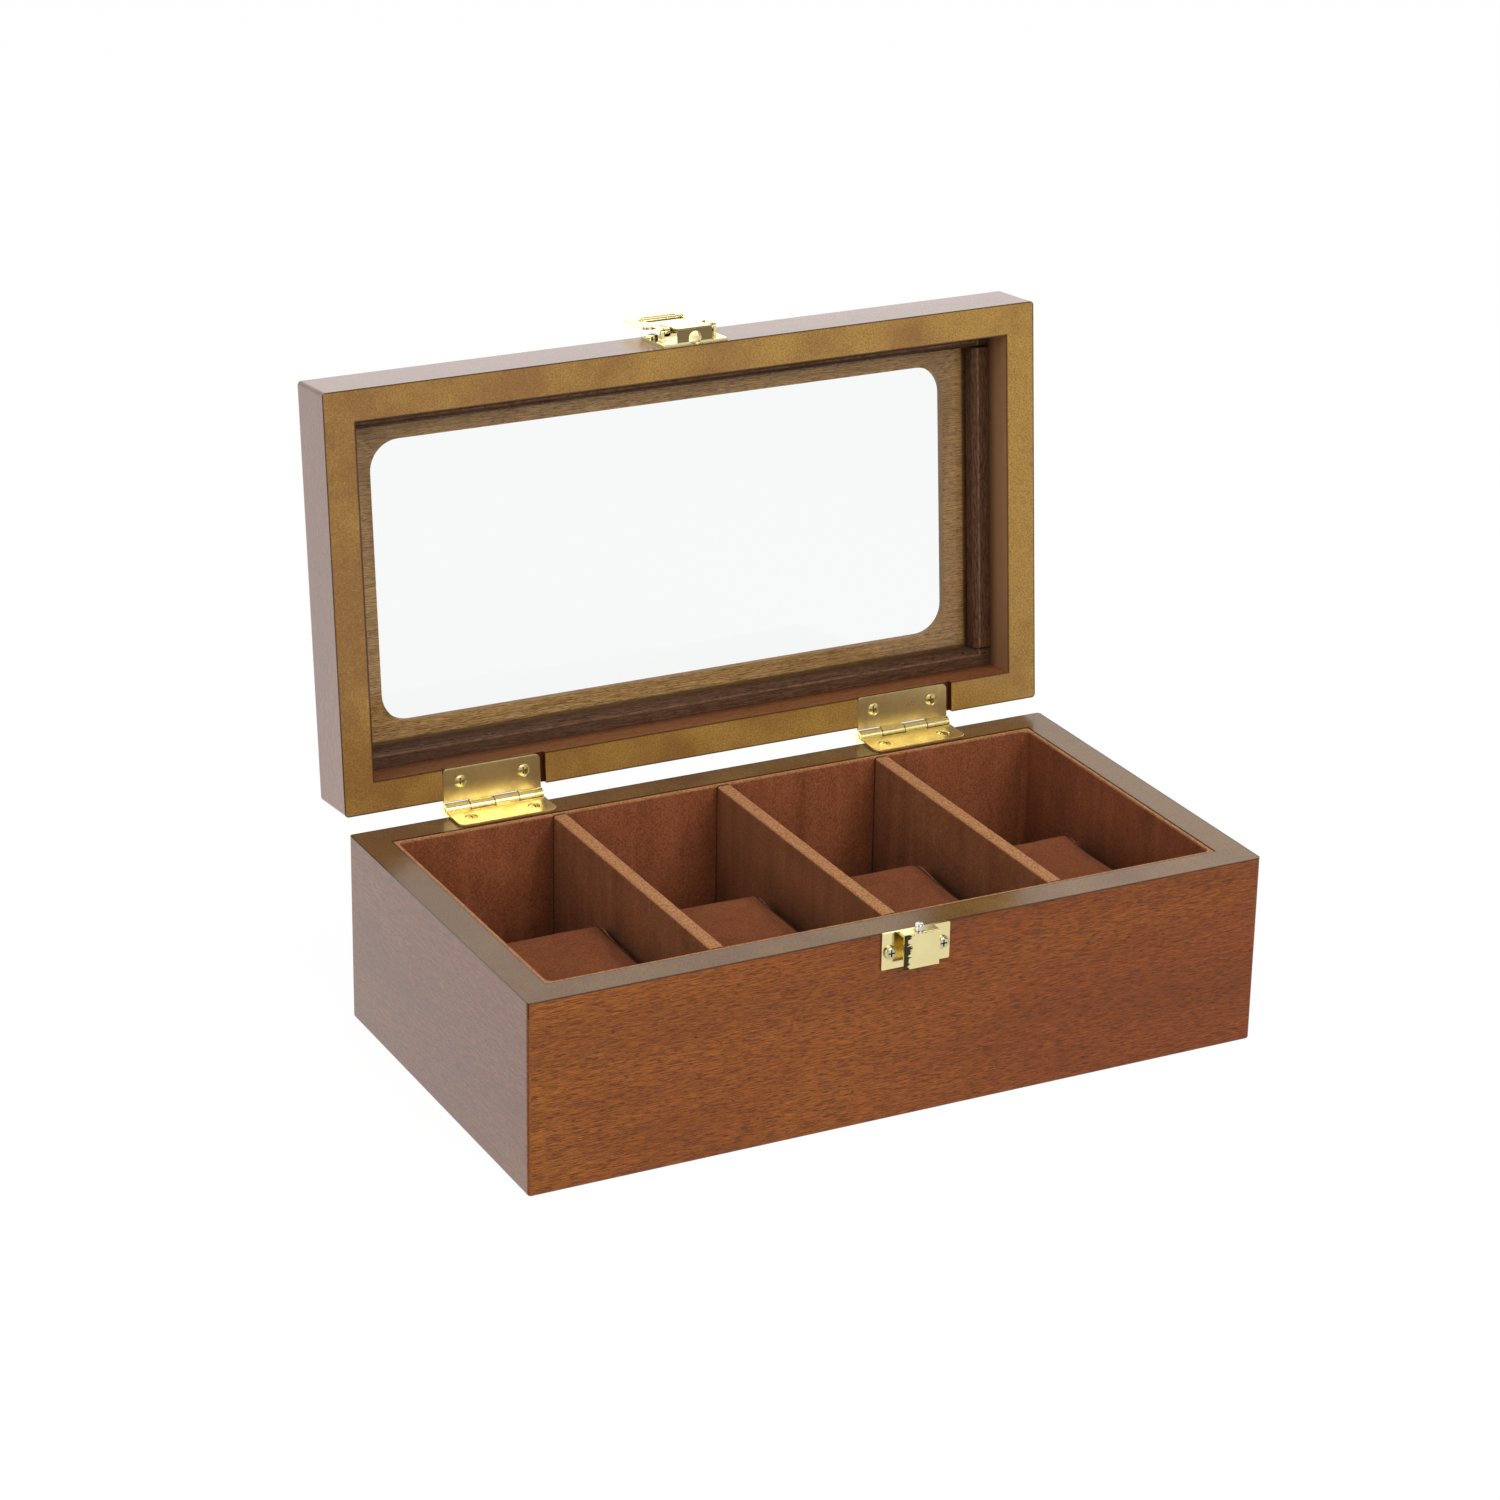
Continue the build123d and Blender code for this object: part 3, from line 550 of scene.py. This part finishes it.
def metal(name, finish, crevice=CREVICE, painted_reflection=None):
    """Plated sheet metal with uneven tone and polish, and painted shade in its crevices.

    The last argument is an optional function that gives where a painted dark reflection lies, and its
    colour.
    """
    clean, dull, rough, spots = finish
    material, tree, shader = new_material(name)
    cloud = noise_node(tree, spots, 4, 0.6, 0.3)
    grit = noise_node(tree, GRIT, 2, 0.6)
    tone = mix(tree, ramp(tree, cloud, (0.35, 0.0), (0.75, 1.0)), clean, dull)
    # painted shade in the crevices
    open_air = add(tree, "ShaderNodeAmbientOcclusion", {"Distance": crevice}, samples=6)
    crevice_shade = ramp(tree, open_air.outputs["AO"], (0.30, 0.95), (0.80, 0.0))
    tone = mix(tree, crevice_shade, tone, darker(dull, 0.16))
    if painted_reflection:
        where, reflected = painted_reflection(tree)
        tone = mix(tree, where, tone, reflected)
    feed(tree, shader, {
        "Base Color": tone,
        "Metallic": 1.0,
        "Roughness": math_node(tree, "MULTIPLY_ADD", cloud, 0.18, rough - 0.06),
        "Normal": bump_from(tree, grit, 0.10, 0.05 * MM),
    })
    return material


def hood_reflection(tree):
    """A ragged dark reflection down the left of the front of the catch's hood."""
    place = place_of(tree)
    ragged = noise_node(tree, HOOD_STREAKS, 4, 0.7)
    reach = math_node(tree, "MULTIPLY_ADD", ragged, RAGGED, RAGGED_START)
    left = fade(tree, minus(tree, place[0], reach), *RAGGED_FADE)
    front = fade(tree, place[1], *HOOD_FACE_FADE)
    return times(tree, left, front), HOOD_TONE


def hump_reflection(tree):
    """A painted dark reflection on the end of the latch plate's folded strip."""
    place = place_of(tree, True)
    end = fade(tree, place[2], *HUMP_END_FADE)
    proud = fade(tree, place[1], *HUMP_PROUD_FADE)
    return times(tree, times(tree, end, proud), HUMP_REFLECTION_SHARE), HUMP_REFLECTED_TONE


def thin_glass(name):
    """Clear window glass: light passes straight through, with a weak mirror reflection."""
    material, tree, shader = new_material(name)
    tree.nodes.remove(shader)
    clear = add(tree, "ShaderNodeBsdfTransparent", {"Color": GLASS_TINT}).outputs[0]
    mirror = add(tree, "ShaderNodeBsdfGlossy", {"Roughness": 0.02}).outputs[0]
    inward = add(tree, "ShaderNodeNewGeometry").outputs["Backfacing"]
    share = add(tree, "ShaderNodeFresnel", {"IOR": GLASS_IOR}).outputs[0]
    share = times(tree, share, minus(tree, 1.0, inward))
    both = add(tree, "ShaderNodeMixShader", {0: share, 1: clear, 2: mirror}).outputs[0]
    feed(tree, tree.nodes["Material Output"], {"Surface": both})
    return material


def finish_metal_and_glass():
    """Plates the hinges, the latch, the hasp and the catch, and glazes the window."""
    set_material([name for name in nodes if name.startswith("hinge")], metal("brass", BRASS))
    hasp_brass = metal("bright_brass", BRIGHT_BRASS, HASP_CREVICE)
    set_material(["latch_rod", "hasp_frame", "hasp_cross_bar", "latch_screws"], hasp_brass)
    latch_brass = metal("latch_brass", BRIGHT_BRASS, LATCH_CREVICE, hump_reflection)
    set_material(["latch_plate"], latch_brass)
    set_material(["catch_plate"], metal("hood_brass", BRIGHT_BRASS, painted_reflection=hood_reflection))
    set_material(["catch_screws"], metal("screw_brass", SCREW_BRASS))
    set_material(["catch_stud"], metal("steel", STEEL))
    set_material(["bead_brads"], metal("brad_steel", BRAD_STEEL))
    set_material(["glass_pane"], thin_glass("clear_glass"))


# ---------------------------------------------------------------- padded pillows
# the empty cover: how much smaller than its space it is on each side, and its rounded edges
PILLOW_SLACK = Vector((0.4, 0.2, 0.2)) * MM
PILLOW_ROUND = 1.6 * MM
PILLOW_CORNER = 3.6 * MM
VOXEL = 2.0 * MM

# the filling: how far it may push the cloth out and how much higher than its space it may crown,
# what share of the push is left at a seam, and how far from the seam the push is whole
FILLING_FRAMES = 20
SWELL = 2.4 * MM
PILLOW_CROWN = 1.0 * MM
SWELL_AT_SEAM = 0.25
FULL_FROM_SEAM = 9 * MM

# the lumps in the filling: their height, how many there are in a metre, and the shift of a seed
LUMP_HEIGHT = 0.45 * MM
LUMPS = 70
LUMP_SHIFT = (3.1, 1.7, 0.9)

# the piping near both ends, puckered by its stitches
WELT_INSET = 1.3 * MM
WELT_RADIUS = 0.5 * MM
WELT_POINTS = 160
WELT_SIDES = 8
PUCKER = 0.12
PUCKERS = 320

# the row of stitches beside the piping
SEAM_INSET = 2.6 * MM
STITCH_PITCH = 2.3 * MM
STITCH_SIZE = (0.75 * MM, 0.24 * MM, 0.24 * MM)

# seam_loop's rays: how square their start's path is, where they start and where they aim, as
# shares of the pillow's half size, and how many are cast for each point that is wanted
RAY_SQUARENESS = 0.35
RAY_START, RAY_AIM = 1.3, 0.55
RAYS_PER_POINT = 4


def new_piece(name, mesh, material, body):
    """Links a mesh as a smooth velvet piece that rides on a body."""
    piece = bpy.data.objects.new(name, mesh)
    bpy.context.scene.collection.objects.link(piece)
    mesh.materials.clear()
    mesh.materials.append(material)
    for face in mesh.polygons:
        face.use_smooth = True
    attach(piece, body)
    return piece


def finished_mesh(shell, name):
    """A mesh of the bmesh shell, which is freed."""
    mesh = bpy.data.meshes.new(name)
    shell.to_mesh(mesh)
    shell.free()
    return mesh


def evaluated_mesh(piece):
    """The piece's mesh with its modifiers applied."""
    return bpy.data.meshes.new_from_object(piece.evaluated_get(bpy.context.evaluated_depsgraph_get()))


def loose_bag(name, low, high):
    """The sewn cover before it is filled: a rounded block, a little smaller than its space."""
    shell = bmesh.new()
    bmesh.ops.create_cube(shell, size=1)
    inner = high - low - 2 * PILLOW_SLACK
    bmesh.ops.scale(shell, vec=inner, verts=shell.verts)
    bmesh.ops.translate(shell, vec=(low + high) / 2, verts=shell.verts)
    across = [edge for edge in shell.edges if abs((edge.verts[0].co - edge.verts[1].co).x) > inner.x / 2]
    bmesh.ops.bevel(shell, geom=across, offset=PILLOW_CORNER, segments=6, profile=0.5, affect="EDGES")
    rims = [edge for edge in shell.edges if edge.calc_face_angle(0) > math.radians(60)]
    bmesh.ops.bevel(shell, geom=rims, offset=PILLOW_ROUND, segments=3, profile=0.5, affect="EDGES")
    bag = bpy.data.objects.new(name, finished_mesh(shell, name))
    bpy.context.scene.collection.objects.link(bag)
    remesh = bag.modifiers.new("remesh", "REMESH")
    remesh.mode = "VOXEL"
    remesh.voxel_size = VOXEL
    fine = evaluated_mesh(bag)
    bag.modifiers.clear()
    bag.data = fine
    return bag


def fill_bags(bags):
    """Inflates the covers as cloth, all together, and gives back where each point went."""
    for bag in bags:
        cloth = bag.modifiers.new("cloth", "CLOTH")
        settings = cloth.settings
        settings.quality = 6
        settings.mass = 0.15
        settings.tension_stiffness = 25
        settings.compression_stiffness = 25
        settings.bending_stiffness = 0.8
        settings.use_pressure = True
        settings.uniform_pressure_force = 4
        settings.effector_weights.gravity = 0
        cloth.point_cache.frame_start = 1
        cloth.point_cache.frame_end = FILLING_FRAMES
    for step in range(1, FILLING_FRAMES + 1):
        bpy.context.scene.frame_set(step)
    places = []
    for bag in bags:
        filled = evaluated_mesh(bag)
        places.append([vertex.co.copy() for vertex in filled.vertices])
        bag.modifiers.clear()
    bpy.context.scene.frame_set(1)
    return places


def settle(bag, places, low, high, seed):
    """Keeps the swelling small at the end seams and full between them, flat underneath."""
    middle = (low + high) / 2
    seam_from_middle = (high.x - low.x) / 2 - SEAM_INSET
    crown = Vector((0, 0, PILLOW_CROWN))
    shift = Vector([seed * lumps for lumps in LUMP_SHIFT])
    for vertex, place in zip(bag.data.vertices, places):
        start = vertex.co.copy()
        to_seam = abs(abs(start.x - middle.x) - seam_from_middle)
        room = SWELL * min(1.0, SWELL_AT_SEAM + to_seam / FULL_FROM_SEAM)
        move = place - start
        if move.length > room:
            move = move * (room / move.length)
        lump = noise.noise(start * LUMPS + shift) * LUMP_HEIGHT
        end = start + move + (start - middle).normalized() * lump
        limits = zip(end, low, high + crown)
        vertex.co = Vector([min(max(value, least), most) for value, least, most in limits])


def seam_loop(tree, low, high, along_x, count):
    """Evenly spaced points round the pillow's surface, in a plane across X."""
    middle = (low + high) / 2
    half_y, half_z = (high.y - low.y) / 2, (high.z - low.z) / 2
    rays = count * RAYS_PER_POINT
    found = []
    for step in range(rays):
        turn = 2 * math.pi * step / rays
        across = math.copysign(abs(math.cos(turn)) ** RAY_SQUARENESS, math.cos(turn)) * half_y
        upward = math.copysign(abs(math.sin(turn)) ** RAY_SQUARENESS, math.sin(turn)) * half_z
        start = Vector((along_x, middle.y + across * RAY_START, middle.z + upward * RAY_START))
        aim = Vector((along_x, middle.y + across * RAY_AIM, middle.z + upward * RAY_AIM))
        place = tree.ray_cast(start, (aim - start).normalized())[0]
        if place:
            found.append(place)
    return evenly(found, count)


def evenly(points, count):
    """The closed loop of points again, at equal distances along it."""
    spans = [(points[(index + 1) % len(points)] - point).length for index, point in enumerate(points)]
    step = sum(spans) / count
    spaced = []
    index, walked = 0, 0.0
    for number in range(count):
        wanted = number * step
        while walked + spans[index] < wanted:
            walked += spans[index]
            index += 1
        share = (wanted - walked) / spans[index] if spans[index] else 0.0
        spaced.append(points[index].lerp(points[(index + 1) % len(points)], share))
    return spaced


def cord(loops, radius):
    """A mesh of closed round cords along the loops, a little puckered."""
    sideways = Vector((1, 0, 0))
    turns = [2 * math.pi * step / WELT_SIDES for step in range(WELT_SIDES)]
    shell = bmesh.new()
    for points in loops:
        rings = []
        for index, point in enumerate(points):
            ahead = (points[(index + 1) % len(points)] - points[index - 1]).normalized()
            outward = ahead.cross(sideways)
            girth = radius * (1 + PUCKER * noise.noise(point * PUCKERS))
            around = [(sideways * math.cos(turn) + outward * math.sin(turn)) * girth for turn in turns]
            rings.append([shell.verts.new(point + offset) for offset in around])
        for index, ring in enumerate(rings):
            following = rings[(index + 1) % len(rings)]
            for step in range(WELT_SIDES):
                after = (step + 1) % WELT_SIDES
                shell.faces.new((ring[step], ring[after], following[after], following[step]))
    bmesh.ops.recalc_face_normals(shell, faces=shell.faces[:])
    return finished_mesh(shell, "cord")


def stitch_rows(loops):
    """A mesh of short stitches that lie end to end along each loop."""
    shell = bmesh.new()
    stretch = Matrix.Diagonal((*STITCH_SIZE, 1))
    for points in loops:
        for index, point in enumerate(points):
            ahead = points[(index + 1) % len(points)] - points[index - 1]
            turned = ahead.to_track_quat("X", "Z").to_matrix().to_4x4()
            place = Matrix.Translation(point) @ turned @ stretch
            bmesh.ops.create_uvsphere(shell, u_segments=6, v_segments=4, radius=1, matrix=place)
    return finished_mesh(shell, "stitches")


def ends_at(inset, low, high):
    """The two places across X that lie an inset in from a pillow's ends."""
    return low.x + inset, high.x - inset


def pillows():
    """Four padded watch pillows, each with a piped seam and a row of stitches round both ends."""
    names = sorted(name for name in nodes if name.startswith("pillow"))
    spaces = [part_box(name) for name in names]
    seams = [place for space in spaces for place in ends_at(SEAM_INSET, *space)]
    cover = velvet("pillow_velvet", *PILLOW_CLOTH, seams=seams)
    welting = velvet("welt_velvet", *WELT_CLOTH)
    thread = velvet("pillow_thread", *THREAD)
    bags = [loose_bag(f"{name}_cushion", *space) for name, space in zip(names, spaces)]
    places = fill_bags(bags)
    for seed, (name, (low, high), bag, moved) in enumerate(zip(names, spaces, bags, places), start=1):
        settle(bag, moved, low, high, seed)
        bag.modifiers.new("subdivision", "SUBSURF").levels = 1
        cushion_mesh = evaluated_mesh(bag)
        bpy.data.objects.remove(bag)
        body = f"{name}_body"
        cushion = new_piece(f"{name}_cushion", cushion_mesh, cover, body)
        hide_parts(name)
        tree = bvhtree.BVHTree.FromObject(cushion, bpy.context.evaluated_depsgraph_get())
        piping = [seam_loop(tree, low, high, end, WELT_POINTS) for end in ends_at(WELT_INSET, low, high)]
        new_piece(f"{name}_piping", cord(piping, WELT_RADIUS), welting, body)
        around = 2 * (high.y - low.y + high.z - low.z) - 2 * PILLOW_CORNER
        stitches = int(around / STITCH_PITCH)
        rows = [seam_loop(tree, low, high, end, stitches) for end in ends_at(SEAM_INSET, low, high)]
        new_piece(f"{name}_stitches", stitch_rows(rows), thread, body)


# ---------------------------------------------------------------- stage, light and camera
FLOOR_SIZE = 8
FLOOR_DROP = 0.2 * MM
FLOOR_GLOW = 1.05
OVEREXPOSED = 0.92

# brightness that reflections see, and that diffuse surfaces get, from the room
TABLE_GLARE = 0.85
ROOM_GLARE = 0.15
BACKDROP_GLARE = 1.6
FILL = 0.33
# how far back, and how far up, a direction points when it meets the backdrop or the table
BACKDROP_FADE = (0.55, -0.35)
TABLE_FADE = (-0.02, 0.10)

# name, place, height of the point that it faces, size and power in watts
LAMPS = (
    ("key", (0.35, -1.9, 1.3), 0.10, 1.3, 26),
    ("top", (-0.3, -0.3, 1.9), 0.05, 1.6, 4),
    ("left", (-1.7, -0.5, 0.9), 0.10, 1.0, 7),
)

# the camera's direction, roll and distance, and how far it is moved across and up in metres
AZIMUTH = math.radians(-27.37)
ELEVATION = math.radians(22.0)
ROLL = math.radians(0.97)
DISTANCE = 1.5146
SIDE_SHIFT = -0.01786
UP_SHIFT = 0.0985
LENS = 102.28
SENSOR_WIDTH = 36


def floor():
    """A pale matt floor that mirrors don't see, so that the room alone sets the reflections."""
    bpy.ops.mesh.primitive_plane_add(size=FLOOR_SIZE, location=(0, 0, -FLOOR_DROP))
    plane = bpy.context.object
    plane.name = "floor"
    material, tree, shader = new_material("floor_white")
    feed(tree, shader, {"Base Color": (0.8, 0.8, 0.8, 1), "Roughness": 1.0, "Specular IOR Level": 0.0})
    bright = add(tree, "ShaderNodeEmission", {"Color": (1, 1, 1, 1), "Strength": FLOOR_GLOW}).outputs[0]
    seen = times(tree, add(tree, "ShaderNodeLightPath").outputs["Is Camera Ray"], OVEREXPOSED)
    both = add(tree, "ShaderNodeMixShader", {0: seen, 1: shader.outputs[0], 2: bright}).outputs[0]
    feed(tree, tree.nodes["Material Output"], {"Surface": both})
    plane.data.materials.append(material)
    plane.visible_glossy = False


def area_light(name, place, target_height, size, power):
    """A soft square lamp at a place, facing a point above the origin."""
    data = bpy.data.lights.new(name, "AREA")
    data.size = size
    data.energy = power
    lamp = bpy.data.objects.new(name, data)
    lamp.location = place
    aim = Vector((0, 0, target_height)) - Vector(place)
    lamp.rotation_euler = aim.to_track_quat("-Z", "Y").to_euler()
    bpy.context.scene.collection.objects.link(lamp)


def studio():
    """Three lamps. Reflections see a blown-out backdrop, a white table and a dim room in front."""
    world = bpy.data.worlds.new("studio")
    bpy.context.scene.world = world
    world.use_nodes = True
    tree = world.node_tree
    facing = add(tree, "ShaderNodeTexCoord").outputs["Generated"]
    facing = add(tree, "ShaderNodeSeparateXYZ", {0: facing}).outputs
    behind = fade(tree, facing[1], *BACKDROP_FADE)
    table = fade(tree, facing[2], *TABLE_FADE)
    front = plus(tree, times(tree, table, TABLE_GLARE - ROOM_GLARE), ROOM_GLARE)
    backdrop = times(tree, behind, minus(tree, BACKDROP_GLARE, front))
    path = add(tree, "ShaderNodeLightPath")
    level = mix(tree, path.outputs["Is Diffuse Ray"], plus(tree, backdrop, front), (FILL, FILL, FILL))
    level = mix(tree, path.outputs["Is Camera Ray"], level, (1.0, 1.0, 1.0))
    feed(tree, tree.nodes["Background"], {"Color": level})
    for lamp in LAMPS:
        area_light(*lamp)


def camera():
    """A long lens at the viewing angle, aimed a little above the box's underside."""
    back = Vector((
        math.sin(AZIMUTH) * math.cos(ELEVATION),
        -math.cos(AZIMUTH) * math.cos(ELEVATION),
        math.sin(ELEVATION),
    ))
    level_right = Vector((math.cos(AZIMUTH), math.sin(AZIMUTH), 0))
    level_up = back.cross(level_right)
    right = level_right * math.cos(ROLL) + level_up * math.sin(ROLL)
    up = level_up * math.cos(ROLL) - level_right * math.sin(ROLL)
    data = bpy.data.cameras.new("camera")
    data.lens = LENS
    data.sensor_width = SENSOR_WIDTH
    view = bpy.data.objects.new("camera", data)
    turned = Matrix((right, up, back)).transposed().to_4x4()
    place = back * DISTANCE + right * SIDE_SHIFT + up * UP_SHIFT
    view.matrix_world = Matrix.Translation(place) @ turned
    bpy.context.scene.collection.objects.link(view)
    bpy.context.scene.camera = view


finish_wood()
finish_velvet()
finish_metal_and_glass()
pillows()
floor()
studio()
camera()
bpy.context.scene.view_settings.view_transform = "Standard"
